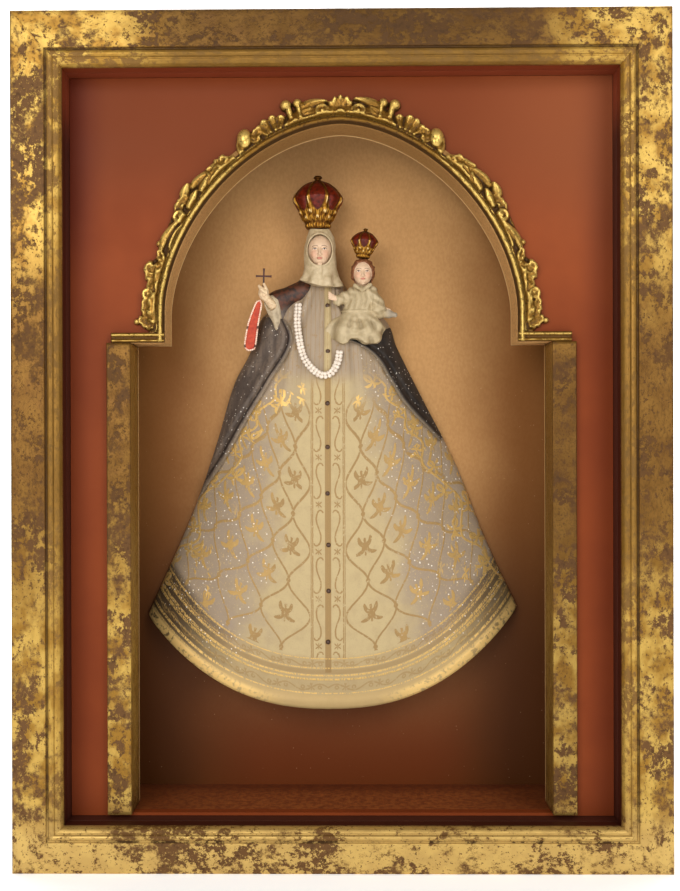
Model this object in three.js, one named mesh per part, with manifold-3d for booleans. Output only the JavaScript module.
// A crowned Madonna with her child: a carved and painted half-round figure, fixed to the back wall of a
// deep gilded box frame. Millimetres, +Z up. The front faces -Y. The origin is under the middle of the box.
import * as THREE from "three";
import { mergeVertices } from "three/addons/utils/BufferGeometryUtils.js";
import Module from "manifold-3d";

const wasm = await Module();
wasm.setup();

// Frame and box, outside sizes
const WIDTH = 505;
const HEIGHT = 660;
const DEPTH = 135;
const GAP = 0.3;

// Frame moulding: its width on a side rail, and how the top and bottom rails differ from it
const RAIL_WIDTH = 38.5;
const RAIL_DEPTH = 22;
const TOP_RAIL_SCALE = 1.1;
const BOTTOM_RAIL_SCALE = 0.91;

// Box boards
const SIDE_BOARD = 20;
const TOP_BOARD = 20;
const BACK_BOARD = 10;

// Red panel and the niche behind its opening
const PANEL_FRONT = 36;
const PANEL_THICK = 10;
const SILL_HEIGHT = 2.3;
const FLOOR_THICK = 2;

// Gilded lining of the opening
const OPENING_HALF = 165;
const LINING_THICK = 7;
const LINING_FRONT = 28;
const LINING_BACK = 71;
const FLANGE_WIDTH = 19;
const SHOULDER_LOW = 408;
const SHOULDER_HIGH = 416;
const SHOULDER_REACH = 180;

// Arch: a superellipse over the shoulders
const ARCH_HALF = 138;
const ARCH_RISE = 147;
const ARCH_SPRING = 432;
const ARCH_POWER = 1.78;
const ARCH_STEPS = 26;

// Thickness of the bed that the cresting's leaves rise from
const CARVING_BED = 3;

// Figure
const AXIS = -10;
const TOP = 468;
const HEM_LOW = 112.5;
const HEM_POWER = 2.4;
const EDGE_THICK = 3;
const MANTLE_THICK = 4;
// Share of that thickness left at the mantle's inner border
const MANTLE_BORDER = 0.7;
const ROBE_ROWS = 20;
const ROBE_COLUMNS = 18;
const MANTLE_ROWS = 8;
const MANTLE_COLUMNS = 4;

// Half outlines and depths of the robed body: [height above the floor, value at that height]
const RIGHT_EDGE = [
  [190.5, 149],
  [246, 123],
  [314, 96],
  [364, 70.5],
  [410, 47.6],
  [436, 36],
  [450, 14],
  [468, 0],
];
const LEFT_EDGE = [
  [184, -165],
  [280, -123],
  [331, -105.5],
  [382, -90],
  [405, -78],
  [436, -67],
  [450, -52],
  [468, -36],
];
const BODY_DEPTH = [
  [112, 53],
  [250, 50],
  [380, 42],
  [420, 40],
  [450, 35],
  [468, 26],
];
// Inner borders of the two halves of the open mantle
const MANTLE_LEFT = [
  [281, -122.5],
  [314, -99],
  [348, -79],
  [381, -58.5],
  [415, -40],
  [432, -46],
];
const MANTLE_RIGHT = [
  [331, 83],
  [364, 51.5],
  [381, 41],
  [408, 19],
  [416, 0],
];

const bottomSight = RAIL_WIDTH * BOTTOM_RAIL_SCALE;
const topSight = HEIGHT - RAIL_WIDTH * TOP_RAIL_SCALE;
const sideSight = WIDTH / 2 - RAIL_WIDTH;
const boxBack = DEPTH - BACK_BOARD;
const panelBack = PANEL_FRONT + PANEL_THICK;
const sillTop = bottomSight + GAP + SILL_HEIGHT;

// y of a plane that lies this far behind the frame's front face
const at = (depth) => depth - DEPTH / 2;
const WALL = at(boxBack) - GAP;

// Smooth value between the keys of a table, straight beyond its ends
function along(keys, where) {
  let i = 0;
  while (i < keys.length - 2 && where > keys[i + 1][0]) i += 1;
  const slope = (j) => (keys[j + 1][1] - keys[j][1]) / (keys[j + 1][0] - keys[j][0]);
  const span = keys[i + 1][0] - keys[i][0];
  const t = (where - keys[i][0]) / span;
  if (t <= 0 || t >= 1) return keys[i][1] + t * span * slope(i);
  const before = i > 0 ? (slope(i - 1) + slope(i)) / 2 : slope(i);
  const after = i < keys.length - 2 ? (slope(i) + slope(i + 1)) / 2 : slope(i);
  const blend = t * t * (3 - 2 * t);
  const bend = span * (before * t * (1 - t) * (1 - t) - after * t * t * (1 - t));
  return keys[i][1] + (keys[i + 1][1] - keys[i][1]) * blend + bend;
}

// Solids
const material = (color, roughness, metalness = 0) =>
  new THREE.MeshStandardMaterial({ color, roughness, metalness });
const GILT = material(0xc9a24a, 0.38, 0.9);
const CARVED_GILT = material(0xd2ab50, 0.32, 0.95);
const RED_PAINT = material(0x8f4a2e, 0.6);
const TAN_PAINT = material(0xb08455, 0.55);
const FIGURE_PAINT = material(0xd9c79d, 0.6);
const CROWN_GILT = material(0xb8862f, 0.35, 0.9);
const DARK_WOOD = material(0x46190f, 0.6);
const RED_CLOTH = material(0xc24a32, 0.8);
const PEARL = material(0xebdcd0, 0.25);

function withPositionOnly(geometry) {
  const plain = geometry.clone();
  plain.deleteAttribute("normal");
  plain.deleteAttribute("uv");
  return plain;
}

function solidOf(geometry) {
  const merged = mergeVertices(withPositionOnly(geometry), 1e-4);
  const mesh = new wasm.Mesh({
    numProp: 3,
    vertProperties: new Float32Array(merged.attributes.position.array),
    triVerts: new Uint32Array(merged.index.array),
  });
  return new wasm.Manifold(mesh);
}

function geometryOf(solid) {
  const mesh = solid.getMesh();
  const geometry = new THREE.BufferGeometry();
  geometry.setAttribute("position", new THREE.BufferAttribute(mesh.vertProperties, 3));
  geometry.setIndex(new THREE.BufferAttribute(mesh.triVerts, 1));
  geometry.computeVertexNormals();
  return geometry;
}

const join = (geometries) =>
  geometryOf(geometries.map(solidOf).reduce((whole, next) => whole.add(next)));
const cut = (geometry, tool) => geometryOf(solidOf(geometry).subtract(solidOf(tool)));

function fromFaces(points, faces) {
  const geometry = new THREE.BufferGeometry();
  geometry.setAttribute("position", new THREE.Float32BufferAttribute(points.flat(), 3));
  geometry.setIndex(faces.flat());
  return facingOut(geometry);
}

// Turns a closed surface round if its faces point inwards
function facingOut(geometry) {
  const p = geometry.attributes.position;
  const index = geometry.index.array;
  const corner = [new THREE.Vector3(), new THREE.Vector3(), new THREE.Vector3()];
  let volume = 0;
  for (let i = 0; i < index.length; i += 3) {
    corner.forEach((c, k) => c.fromBufferAttribute(p, index[i + k]));
    volume += corner[0].dot(corner[1].cross(corner[2]));
  }
  if (volume < 0) {
    for (let i = 0; i < index.length; i += 3) {
      [index[i + 1], index[i + 2]] = [index[i + 2], index[i + 1]];
    }
  }
  geometry.computeVertexNormals();
  return geometry;
}

const capFaces = (flat) =>
  THREE.ShapeUtils.triangulateShape(
    flat.map(([a, b]) => new THREE.Vector2(a, b)),
    [],
  );

// A closed skin over rings that all have the same number of points. flat gives a ring's outline in a plane.
function loft(rings, flat) {
  const count = rings[0].length;
  const faces = [];
  for (let r = 0; r + 1 < rings.length; r += 1) {
    for (let i = 0; i < count; i += 1) {
      const a = r * count + i;
      const b = r * count + ((i + 1) % count);
      faces.push([a, b, b + count], [a, b + count, a + count]);
    }
  }
  const cap = capFaces(flat);
  const last = (rings.length - 1) * count;
  cap.forEach(([a, b, c]) => {
    const forwards = THREE.ShapeUtils.isClockWise(flat.map(([x, y]) => new THREE.Vector2(x, y)));
    const start = forwards ? [a, b, c] : [a, c, b];
    const end = forwards ? [a, c, b] : [a, b, c];
    faces.push(start, end.map((k) => k + last));
  });
  return fromFaces(rings.flat(), faces);
}

// A relief on the back wall: front points on a grid, with a flat back and sides that run straight to it
function relief(rows, columns, front, backY = WALL) {
  const points = [];
  for (let r = 0; r <= rows; r += 1) {
    for (let c = 0; c <= columns; c += 1) points.push(front(c / columns, r / rows));
  }
  const id = (r, c) => r * (columns + 1) + c;
  const faces = [];
  for (let r = 0; r < rows; r += 1) {
    for (let c = 0; c < columns; c += 1) {
      faces.push([id(r, c), id(r + 1, c), id(r + 1, c + 1)], [id(r, c), id(r + 1, c + 1), id(r, c + 1)]);
    }
  }
  const rim = [];
  for (let c = 0; c < columns; c += 1) rim.push(id(0, c));
  for (let r = 0; r < rows; r += 1) rim.push(id(r, columns));
  for (let c = columns; c > 0; c -= 1) rim.push(id(rows, c));
  for (let r = rows; r > 0; r -= 1) rim.push(id(r, 0));
  const first = points.length;
  rim.forEach((k) => points.push([points[k][0], backY, points[k][2]]));
  rim.forEach((k, i) => {
    const next = (i + 1) % rim.length;
    faces.push([k, rim[next], first + next], [k, first + next, first + i]);
  });
  const flat = rim.map((k) => [points[k][0], points[k][2]]);
  const turned = THREE.ShapeUtils.isClockWise(flat.map(([x, z]) => new THREE.Vector2(x, z)));
  capFaces(flat).forEach(([a, b, c]) => {
    faces.push(turned ? [first + a, first + c, first + b] : [first + a, first + b, first + c]);
  });
  return fromFaces(points, faces);
}

// A box from its low and high corners
function box(low, high) {
  const size = high.map((v, i) => v - low[i]);
  return new THREE.BoxGeometry(...size).translate(...low.map((v, i) => v + size[i] / 2));
}

// An outline in x and z pushed back from one depth to another
function plate(outline, frontDepth, backDepth, holes = []) {
  const shape = new THREE.Shape(outline.map(([x, z]) => new THREE.Vector2(x, z)));
  shape.holes = holes.map((hole) => new THREE.Path(hole.map(([x, z]) => new THREE.Vector2(x, z))));
  return new THREE.ExtrudeGeometry(shape, { depth: backDepth - frontDepth, bevelEnabled: false })
    .rotateX(Math.PI / 2)
    .translate(0, at(backDepth), 0);
}

// An outline in x and depth, raised from one height to another
function post(outline, low, high) {
  const shape = new THREE.Shape(outline.map(([x, depth]) => new THREE.Vector2(x, at(depth))));
  return new THREE.ExtrudeGeometry(shape, { depth: high - low, bevelEnabled: false }).translate(0, 0, low);
}

const ellipsoid = (centre, radii, around, down) =>
  new THREE.SphereGeometry(1, around, down)
    .scale(...radii)
    .translate(...centre);

// A body of round sections, each [height, middle x, middle depth, half width, half depth]
function stack(sections, sides = 12) {
  const ring = ([z, x, depth, wide, deep]) =>
    Array.from({ length: sides }, (_, i) => {
      const a = (2 * Math.PI * i) / sides;
      return [x + wide * Math.cos(a), at(depth) + deep * Math.sin(a), z];
    });
  const rings = sections.map(ring);
  return loft(rings, rings[0].map(([x, y]) => [x, y]));
}

// A limb between two points, with a radius at each
function limb(from, to, startRadius, endRadius, sides) {
  const a = new THREE.Vector3(...from);
  const b = new THREE.Vector3(...to);
  const length = a.distanceTo(b);
  const turn = new THREE.Quaternion().setFromUnitVectors(
    new THREE.Vector3(0, 1, 0),
    b.clone().sub(a).normalize(),
  );
  const middle = a.clone().add(b).multiplyScalar(0.5);
  return new THREE.CylinderGeometry(endRadius, startRadius, length, sides)
    .applyQuaternion(turn)
    .translate(middle.x, middle.y, middle.z);
}

const part = new THREE.Group();
function add(name, geometry, look) {
  const mesh = new THREE.Mesh(geometry, look);
  mesh.name = name;
  part.add(mesh);
}

// Frame: outer band, groove, bead, cove and lip, as [inwards from the outer edge, behind the front]
const MOULDING = [
  [0, RAIL_DEPTH],
  [0, 1.2],
  [1.2, 0],
  [26, 0],
  [26.6, 1.8],
  [27.6, 1.8],
  [28.2, 0.4],
  [29.6, 0],
  [31, 0.6],
  [31.8, 2],
  [33.6, 2.4],
  [36.4, 3.4],
  [RAIL_WIDTH, 6],
  [RAIL_WIDTH, RAIL_DEPTH],
];

function rail(start, end) {
  // Each corner: which side of the box it is on, and the width scale of its top or bottom rail
  const corner = ([side, up], inwards) => [
    side * (WIDTH / 2 - inwards),
    up > 0 ? HEIGHT - inwards * TOP_RAIL_SCALE : inwards * BOTTOM_RAIL_SCALE,
  ];
  const run = new THREE.Vector2(end[0] - start[0], end[1] - start[1]).normalize().multiplyScalar(GAP);
  const ring = (which, sign) =>
    MOULDING.map(([inwards, depth]) => {
      const [x, z] = corner(which, inwards);
      return [x + (sign * run.x) / 2, at(depth), z + (sign * run.y) / 2];
    });
  return loft([ring(start, 1), ring(end, -1)], MOULDING);
}

function addFrame() {
  add("frame_rail_left", rail([-1, -1], [-1, 1]), GILT);
  add("frame_rail_right", rail([1, 1], [1, -1]), GILT);
  add("frame_rail_top", rail([-1, 1], [1, 1]), GILT);
  add("frame_rail_bottom", rail([1, -1], [-1, -1]), GILT);
}

function addBox() {
  const front = at(RAIL_DEPTH) + GAP;
  const back = at(boxBack) - GAP;
  const outer = sideSight + SIDE_BOARD;
  const low = bottomSight + GAP;
  const high = topSight - GAP;
  add("case_side_left", box([-outer, front, low], [-sideSight, back, high]), RED_PAINT);
  add("case_side_right", box([sideSight, front, low], [outer, back, high]), RED_PAINT);
  add("case_top", box([-outer, front, topSight], [outer, back, topSight + TOP_BOARD]), RED_PAINT);
  add("case_bottom", box([-outer, front, 0], [outer, back, bottomSight]), RED_PAINT);
  add("back_panel", box([-outer, at(boxBack), 0], [outer, at(DEPTH), topSight + TOP_BOARD]), TAN_PAINT);
}

// The arch's inner edge from the left foot over the top to the right foot, as evenly spaced points,
// each with the direction that points away from the opening
function archPath() {
  const curve = [[-ARCH_HALF, SHOULDER_LOW + GAP]];
  const fine = 400;
  for (let i = 0; i <= fine; i += 1) {
    const a = Math.PI * (1 - i / fine);
    const bulge = 2 / ARCH_POWER;
    const x = Math.sign(Math.cos(a)) * ARCH_HALF * Math.abs(Math.cos(a)) ** bulge;
    curve.push([x, ARCH_SPRING + ARCH_RISE * Math.sin(a) ** bulge]);
  }
  curve.push([ARCH_HALF, SHOULDER_LOW + GAP]);
  const flat = new THREE.CurvePath();
  for (let i = 0; i + 1 < curve.length; i += 1) {
    flat.add(new THREE.LineCurve(new THREE.Vector2(...curve[i]), new THREE.Vector2(...curve[i + 1])));
  }
  return (share) => {
    const p = flat.getPointAt(share);
    const before = flat.getPointAt(Math.max(0, share - 0.004));
    const after = flat.getPointAt(Math.min(1, share + 0.004));
    const run = after.sub(before).normalize();
    return { x: p.x, z: p.y, outX: -run.y, outZ: run.x, angle: Math.atan2(run.y, run.x) };
  };
}
const arch = archPath();

// Arch section from the opening outwards: reveal, cove, bead, and the bed that the carving lies on
const ARCH_SECTION = [
  [0, LINING_BACK],
  [0, 33],
  [1.4, 29.5],
  [2, 27.2],
  [3.6, 26],
  [5.4, 27.2],
  [6.2, 29.6],
  [12.5, 32.6],
  [12.5, PANEL_FRONT - GAP],
  [LINING_THICK, PANEL_FRONT - GAP],
  [LINING_THICK, LINING_BACK],
];

function archBand() {
  const rings = [];
  for (let i = 0; i <= ARCH_STEPS; i += 1) {
    const p = arch(i / ARCH_STEPS);
    rings.push(ARCH_SECTION.map(([out, depth]) => [p.x + out * p.outX, at(depth), p.z + out * p.outZ]));
  }
  return loft(rings, ARCH_SECTION);
}

// One shoulder: two fillets on the front of a flange, and the soffit that closes the step below the arch
function shoulder() {
  const low = SHOULDER_LOW + GAP;
  const back = PANEL_FRONT - GAP;
  const section = [
    [low, back],
    [low, 28],
    [low + 1.4, 26.6],
    [low + 3, 28.4],
    [low + 4, 28.4],
    [low + 5.8, 26],
    [SHOULDER_HIGH, 28],
    [SHOULDER_HIGH, back],
  ];
  const ring = (x) => section.map(([z, depth]) => [x, at(depth), z]);
  const flange = loft([ring(ARCH_HALF + 0.4), ring(SHOULDER_REACH)], section);
  const soffit = box(
    [ARCH_HALF + 0.4, at(back - 1), low],
    [OPENING_HALF + LINING_THICK, at(LINING_BACK), low + LINING_THICK],
  );
  return [flange, soffit];
}

function mirrored(geometry) {
  return facingOut(mergeVertices(withPositionOnly(geometry).scale(-1, 1, 1), 1e-4));
}

// A carved leaf: a ridge down the middle, and edges that swell and draw in to a tip
function leaf(length, width, height) {
  const stations = [
    [0, 0.5, 0.6],
    [0.4, 1, 1],
    [0.8, 0.72, 0.85],
    [1, 0.2, 0.4],
  ];
  const rings = stations.map(([share, wide, high]) => {
    const half = (wide * width) / 2;
    const top = high * height;
    const low = -CARVING_BED;
    return [
      [-half, low, share * length],
      [-half, top * 0.35, share * length],
      [0, top, share * length],
      [half, top * 0.35, share * length],
      [half, low, share * length],
    ];
  });
  return loft(rings, rings[0].map(([x, y]) => [x, y]));
}

// A scroll: a round rod that winds in on itself and thins out, standing on the bed
function scroll(radius) {
  const turns = 1.15;
  const steps = 8;
  const sides = 4;
  const rings = [];
  for (let i = 0; i <= steps; i += 1) {
    const share = i / steps;
    const a = share * turns * 2 * Math.PI;
    const reach = radius * (1 - 0.62 * share);
    const thick = radius * (0.34 - 0.12 * share);
    const ring = [];
    for (let k = 0; k < sides; k += 1) {
      const b = (2 * Math.PI * k) / sides;
      const r = reach + thick * Math.cos(b);
      ring.push([r * Math.cos(a), thick * Math.sin(b) + radius * 0.2, r * Math.sin(a)]);
    }
    rings.push(ring);
  }
  const flat = Array.from({ length: sides }, (_, k) => {
    const b = (2 * Math.PI * k) / sides;
    return [Math.cos(b), Math.sin(b)];
  });
  const core = new THREE.CylinderGeometry(radius * 0.9, radius, CARVING_BED + radius * 0.3, 8);
  return join([loft(rings, flat), core.translate(0, radius * 0.15 - CARVING_BED / 2, 0)]);
}

const knob = (radius) => ellipsoid([0, 0, 0], [radius, radius, radius], 7, 5);

// Carving of one half of the arch. share: place along the arch from its foot, 0.5 being the top.
// out: distance from the inner edge. turn: degrees from the arch's run towards the outside.
const CRESTING = [
  { kind: "leaf", share: 0.028, out: 5, turn: 71, size: [17, 9, 3.6] },
  { kind: "leaf", share: 0.034, out: 5, turn: 22, size: [23, 12, 4.6] },
  { kind: "scroll", share: 0.074, out: 12.6, size: [4.8] },
  { kind: "leaf", share: 0.074, out: 6, turn: 32, size: [19, 10.5, 4.2] },
  { kind: "leaf", share: 0.099, out: 5, turn: 50, size: [19, 11.5, 4.6] },
  { kind: "leaf", share: 0.128, out: 6, turn: 50, size: [15.5, 8.5, 4] },
  { kind: "leaf", share: 0.146, out: 8, turn: 12, size: [28, 10, 4.6] },
  { kind: "leaf", share: 0.176, out: 6, turn: 22, size: [23, 9, 4.6] },
  { kind: "leaf", share: 0.193, out: 5.5, turn: 44, size: [18.5, 10, 4.6] },
  { kind: "leaf", share: 0.215, out: 5.5, turn: 44, size: [18.5, 11, 4.8] },
  { kind: "leaf", share: 0.242, out: 5.5, turn: 54, size: [16, 10.5, 4.6] },
  { kind: "leaf", share: 0.268, out: 5.5, turn: 62, size: [16, 11, 4.8] },
  { kind: "leaf", share: 0.297, out: 5, turn: 92, size: [13.5, 10, 4.2] },
  { kind: "leaf", share: 0.324, out: 6, turn: 162, size: [24, 10, 4.2] },
  { kind: "leaf", share: 0.336, out: 5, turn: 62, size: [13, 7.5, 3.8] },
  { kind: "knob", share: 0.352, out: 13.5, size: [6] },
  { kind: "leaf", share: 0.391, out: 5.5, turn: 112, size: [14, 8.5, 4.4] },
  { kind: "leaf", share: 0.401, out: 5.5, turn: 70, size: [14, 8.5, 4.4] },
  { kind: "leaf", share: 0.434, out: 9, turn: 88, size: [14.5, 4.6, 3.6] },
  { kind: "knob", share: 0.428, out: 23, size: [3.2] },
  { kind: "knob", share: 0.44, out: 21, size: [2.8] },
  { kind: "leaf", share: 0.425, out: 7.5, turn: 14, size: [30, 12, 4.6] },
  { kind: "leaf", share: 0.452, out: 9, turn: 12, size: [25, 11, 4.4] },
];
// The shell at the top of the arch: one rib for each direction
const SHELL_RIBS = [34, 62, 90, 118, 146];
const SHELL_RIB = { out: 8, length: 15, width: 7, height: 5.2 };

const CARVERS = { leaf, knob, scroll };
function carving({ kind, share, out, turn = 0, size }) {
  const p = arch(share);
  const lean = p.angle + THREE.MathUtils.degToRad(turn);
  return withPositionOnly(CARVERS[kind](...size))
    .rotateY(Math.PI / 2 - lean)
    .scale(1, -1, 1)
    .translate(p.x + out * p.outX, at(PANEL_FRONT - GAP - CARVING_BED), p.z + out * p.outZ);
}

function addArch() {
  const half = CRESTING.map((item) => facingOut(mergeVertices(carving(item), 1e-4)));
  const shell = SHELL_RIBS.map((turn) =>
    carving({
      kind: "leaf",
      share: 0.5,
      out: SHELL_RIB.out,
      turn,
      size: [SHELL_RIB.length, SHELL_RIB.width, SHELL_RIB.height],
    }),
  ).map((rib) => facingOut(mergeVertices(rib, 1e-4)));
  const bed = box([-WIDTH, at(PANEL_FRONT - GAP), 0], [WIDTH, at(DEPTH), HEIGHT]);
  const carved = cut(join([...half, ...half.map(mirrored), ...shell]), bed);
  const shoulders = shoulder();
  const whole = [archBand(), ...shoulders, ...shoulders.map(mirrored)];
  add("arch_moulding", join([...whole, carved]), CARVED_GILT);
}

function addPanel() {
  const half = sideSight - GAP;
  const low = bottomSight + GAP;
  const high = topSight - GAP;
  const inner = OPENING_HALF + LINING_THICK + GAP;
  const shoulderTop = SHOULDER_LOW + LINING_THICK + 2 * GAP;
  const clear = LINING_THICK + GAP;
  const curve = [];
  for (let i = 1; i < ARCH_STEPS; i += 1) {
    const p = arch(i / ARCH_STEPS);
    const x = p.x + clear * p.outX;
    const z = p.z + clear * p.outZ;
    if (z > shoulderTop + 1) curve.push([x, z]);
  }
  const outline = [
    [-half, low],
    [half, low],
    [half, high],
    [-half, high],
  ];
  const opening = [
    [-inner, sillTop],
    [-inner, shoulderTop],
    [-ARCH_HALF - clear, shoulderTop],
    ...curve,
    [ARCH_HALF + clear, shoulderTop],
    [inner, shoulderTop],
    [inner, sillTop],
  ];
  add("red_panel", plate(outline, PANEL_FRONT, panelBack, [opening]), RED_PAINT);
  const floorLow = bottomSight + GAP;
  const floor = box([-half, at(panelBack) + GAP, floorLow], [half, WALL, floorLow + FLOOR_THICK]);
  add("niche_floor", floor, RED_PAINT);
}

function addPilasters() {
  const back = PANEL_FRONT - GAP;
  const outer = OPENING_HALF + FLANGE_WIDTH;
  const round = 2;
  const section = [
    [OPENING_HALF, LINING_BACK],
    [OPENING_HALF, LINING_FRONT + round],
    [OPENING_HALF + round * 0.3, LINING_FRONT + round * 0.3],
    [OPENING_HALF + round, LINING_FRONT],
    [outer - round, LINING_FRONT],
    [outer - round * 0.3, LINING_FRONT + round * 0.3],
    [outer, LINING_FRONT + round],
    [outer, back],
    [OPENING_HALF + LINING_THICK, back],
    [OPENING_HALF + LINING_THICK, LINING_BACK],
  ];
  const right = post(section, sillTop + GAP, SHOULDER_LOW);
  add("pilaster_right", right, GILT);
  add("pilaster_left", mirrored(right), GILT);
}

// The robed body. t runs from -1 at its left outline to 1 at its right one, v from the shoulders to the hem.
function body(t, v) {
  const edges = t < 0 ? LEFT_EDGE : RIGHT_EDGE;
  const corner = edges[0][0];
  const across = Math.abs(t);
  const z = TOP + v * (HEM_LOW + (corner - HEM_LOW) * across ** HEM_POWER - TOP);
  const x = AXIS + across * (along(edges, TOP + v * (corner - TOP)) - AXIS);
  const swell = Math.max(0, 1 - across ** 2.2) ** 0.62;
  return { x, z, out: EDGE_THICK + (along(BODY_DEPTH, z) - EDGE_THICK) * swell };
}

// The t and v of the body at a place seen from the front
function placeOnBody(x, z) {
  const edges = x < AXIS ? LEFT_EDGE : RIGHT_EDGE;
  const corner = edges[0][0];
  let t = 0;
  let v = 0;
  for (let i = 0; i < 12; i += 1) {
    v = (TOP - z) / (TOP - HEM_LOW - (corner - HEM_LOW) * Math.abs(t) ** HEM_POWER);
    t = (Math.abs(x - AXIS) / Math.abs(along(edges, TOP + v * (corner - TOP)) - AXIS)) * Math.sign(x - AXIS);
  }
  return [t, v];
}

const bodyOut = (x, z) => body(...placeOnBody(x, z)).out;

function robe() {
  return relief(ROBE_ROWS, ROBE_COLUMNS, (u, v) => {
    const p = body(Math.sin((u - 0.5) * Math.PI), v);
    return [p.x, WALL - p.out, p.z];
  });
}

// One half of the open mantle, from its outer edge to the inner border that the keys give
function mantle(border, side) {
  const low = border[0][0];
  const high = border[border.length - 1][0];
  return relief(MANTLE_ROWS, MANTLE_COLUMNS, (u, v) => {
    const z = high + v * (low - high);
    const [inner, down] = placeOnBody(along(border, z), z);
    const across = side * (1 + u * (Math.abs(inner) - 1));
    const p = body(across, down);
    return [p.x, WALL - p.out - MANTLE_THICK * (u < 1 ? 1 : MANTLE_BORDER), p.z];
  });
}

// Sections of the veiled head and of the child, as [height, middle x, middle depth, half width, half depth]
const VEIL = [
  [456, -17, 100, 19.5, 16],
  [462, -17.5, 99, 18.5, 15.5],
  [468, -17.5, 98.5, 15.5, 14.5],
  [475, -17.5, 98, 13.6, 13.6],
  [484, -17.3, 98, 13.3, 13.5],
  [494, -17.2, 98, 13, 13.2],
  [501, -17.4, 98, 11.5, 12],
  [507, -17.8, 98, 8.6, 9.5],
];
const CHILD = [
  [409.5, 12, 90, 21, 12],
  [414, 12, 89.5, 23.5, 14],
  [424, 12, 89, 22, 14],
  [432, 13, 89, 17.5, 12.5],
  [437, 14, 89, 13.5, 11],
  [446, 15.5, 89, 12.5, 10.5],
  [454, 16, 89.5, 12.5, 9],
  [459, 17, 90, 7.5, 6],
  [462, 17.5, 90, 4.5, 4.5],
];
const HEAD = { x: -17.4, depth: 92, z: 488.5, wide: 9, deep: 8.6, high: 12.5 };
const CHILD_HEAD = { x: 18.1, depth: 86, z: 469.5, wide: 9.6, deep: 9.4, high: 11.3 };

// Limbs from one end to the other: [x, depth, z] and a radius at each
const MOTHER_LIMBS = {
  nose: { from: [-17.4, 84, 491.5], to: [-17.4, 82.8, 485.1], radii: [0.8, 1.7], sides: 6 },
  upperArm: { from: [-30, 104, 455], to: [-55, 100, 447], radii: [10, 7.5] },
  forearm: { from: [-53, 100, 443], to: [-62, 92, 451], radii: [6, 4] },
  cuff: { from: [-57, 97, 446], to: [-51.5, 96, 424], radii: [7.2, 2.2] },
};
const CHILD_LIMBS = {
  rightSleeve: { from: [24, 88, 453], to: [31.5, 84, 440], radii: [6.4, 5.4] },
  rightHand: { from: [30, 84, 439], to: [45, 86, 436.5], radii: [4.6, 1.6] },
  leftSleeve: { from: [9, 87, 451], to: [-2, 81, 450], radii: [6, 4.4] },
  leftHand: { from: [-1, 81, 450.5], to: [-8.5, 79, 455], radii: [3.2, 2.2] },
};

function limbs(table) {
  const end = ([x, depth, z]) => [x, at(depth), z];
  const built = ({ from, to, radii, sides = 8 }) => limb(end(from), end(to), ...radii, sides);
  return Object.values(table).map(built);
}

function head({ x, depth, z, wide, deep, high }) {
  return ellipsoid([x, at(depth), z], [wide, deep, high], 10, 8);
}

function madonna() {
  const hand = ellipsoid([-64, at(91), 453.5], [4.2, 4, 6.4], 8, 6);
  return [stack(VEIL), head(HEAD), hand, ...limbs(MOTHER_LIMBS)];
}

const child = () => [stack(CHILD), head(CHILD_HEAD), ...limbs(CHILD_LIMBS)];

function addFigure() {
  const halves = [mantle(MANTLE_LEFT, -1), mantle(MANTLE_RIGHT, 1)];
  add("madonna_and_child", join([robe(), ...halves, ...madonna(), ...child()]), FIGURE_PAINT);
}

// Half outline of a closed crown as [radius, height], for a crown of height 1: band, rim, cap and finial
const CROWN = [
  [0, 0],
  [0.19, 0],
  [0.27, 0.2],
  [0.36, 0.37],
  [0.44, 0.5],
  [0.445, 0.56],
  [0.42, 0.6],
  [0.42, 0.68],
  [0.35, 0.8],
  [0.22, 0.88],
  [0.08, 0.905],
  [0.05, 0.925],
  [0.085, 0.95],
  [0.06, 0.985],
  [0, 1],
];
const CROWN_LEAVES = 8;
const CROWN_HEIGHT = 45.5;
const CHILD_CROWN_HEIGHT = 25;
// How far the mother's crown sits to the left of her veil's middle
const CROWN_SHIFT = 1.2;
// Degrees that the child's crown leans, and how far its low side is kept off the head
const CHILD_CROWN_TILT = 6;
const CHILD_CROWN_LIFT = 0.5;

function crown(height) {
  const points = CROWN.map(([r, h]) => new THREE.Vector2(r * height, h * height));
  const core = new THREE.LatheGeometry(points, 10).rotateX(Math.PI / 2);
  const leaves = [];
  for (let i = 0; i < CROWN_LEAVES; i += 1) {
    const tip = new THREE.ConeGeometry(0.085 * height, 0.2 * height, 4);
    leaves.push(
      tip
        .rotateX(Math.PI / 2)
        .rotateY(0.5)
        .translate(0.425 * height, 0, 0.56 * height)
        .rotateZ(((i + 0.5) * 2 * Math.PI) / CROWN_LEAVES),
    );
  }
  return join([facingOut(mergeVertices(withPositionOnly(core), 1e-4)), ...leaves]);
}

function addCrowns() {
  const [veilTop, veilMiddle, veilDepth] = VEIL[VEIL.length - 1];
  const mother = crown(CROWN_HEIGHT).translate(veilMiddle - CROWN_SHIFT, at(veilDepth), veilTop + GAP);
  add("madonna_crown", mother, CROWN_GILT);
  const tilt = THREE.MathUtils.degToRad(CHILD_CROWN_TILT);
  const crownFoot = CHILD_HEAD.z + CHILD_HEAD.high + GAP + CHILD_CROWN_LIFT;
  const small = crown(CHILD_CROWN_HEIGHT).rotateY(tilt);
  small.translate(CHILD_HEAD.x, at(CHILD_HEAD.depth), crownFoot);
  add("child_crown", small, CROWN_GILT);
}

// Degrees that the cross leans to the side
const CROSS_TILT = 1.5;

function addCross() {
  const bar = (x, z) => new THREE.BoxGeometry(x, 1.7, z);
  const upright = bar(1.6, 13.5);
  const arm = bar(13, 1.6).translate(0, 0, 0.4);
  const cross = join([upright, arm]).rotateY(THREE.MathUtils.degToRad(CROSS_TILT));
  add("hand_cross", cross.translate(-64, at(91), 467.6), DARK_WOOD);
}

// The narrow red band that hangs from her hand, with a raised edge all round
const BAND_LENGTH = 38;
const BAND_EDGE = 1.5;

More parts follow.
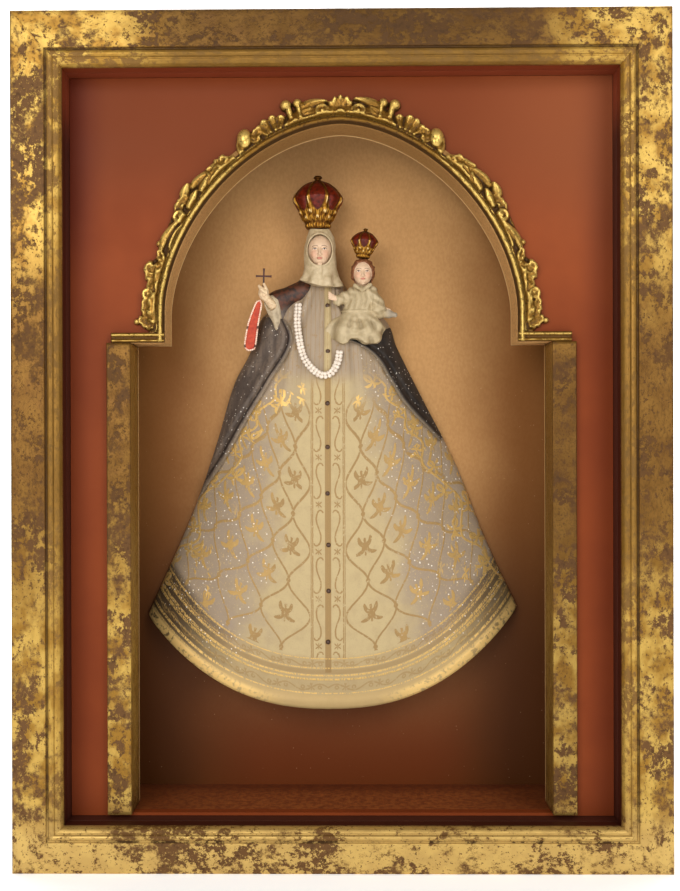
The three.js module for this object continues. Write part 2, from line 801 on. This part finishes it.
function addScapular() {
  const steps = 14;
  const line = new THREE.CatmullRomCurve3([
    new THREE.Vector3(-67.8, 0, 448.5),
    new THREE.Vector3(-73.2, 0, 429),
    new THREE.Vector3(-76.6, 0, 407),
  ]);
  const half = (share) => 2.3 + 2.3 * Math.sin(Math.min(1, share * 1.25) * Math.PI * 0.5);
  const outline = (inset) => {
    const left = [];
    const right = [];
    for (let i = 0; i <= steps; i += 1) {
      const share = inset / BAND_LENGTH + (i / steps) * (1 - (2 * inset) / BAND_LENGTH);
      const p = line.getPoint(share);
      const run = line.getTangent(share);
      const endRound = i === 0 || i === steps ? 0.55 : 1;
      const w = (half(share) - inset) * endRound;
      left.push([p.x - run.z * w, p.z + run.x * w]);
      right.unshift([p.x + run.z * w, p.z - run.x * w]);
    }
    return [...left, ...right];
  };
  const band = cut(plate(outline(0), 95.4, 98), plate(outline(BAND_EDGE), 95, 96.2));
  add("scapular_loop", band, RED_CLOTH);
}

// Two strands side by side that lie on the front of the dress, a bead of each fused to a pair
const NECKLACE = [
  [-35.5, 444],
  [-36, 428],
  [-33.5, 410],
  [-29, 397],
  [-21.5, 388.5],
  [-14, 385],
  [-7, 388],
  [-2.8, 396],
  [-1.4, 404],
];
const PEARL_RADIUS = 1.55;
const PEARL_PITCH = 3;
// A fused pair of pearls, in pearl radii: across the strand, outwards from the dress, and along the strand
const PEARL_PAIR = [1.9, 1.05, 1.4];

function addNecklace() {
  const path = new THREE.CatmullRomCurve3(NECKLACE.map(([x, z]) => new THREE.Vector3(x, 0, z)));
  const count = Math.round(path.getLength() / PEARL_PITCH);
  const beads = [];
  for (let i = 0; i <= count; i += 1) {
    const p = path.getPointAt(i / count);
    const run = path.getTangentAt(i / count);
    const out = bodyOut(p.x, p.z) + PEARL_RADIUS + 1;
    beads.push(
      new THREE.IcosahedronGeometry(1, 0)
        .scale(...PEARL_PAIR.map((times) => times * PEARL_RADIUS))
        .rotateY(Math.atan2(run.x, run.z))
        .translate(p.x, WALL - out, p.z),
    );
  }
  add("pearl_necklace", join(beads), PEARL);
}

addFrame();
addBox();
addPanel();
addPilasters();
addArch();
addFigure();
addCrowns();
addCross();
addScapular();
addNecklace();

export default part;
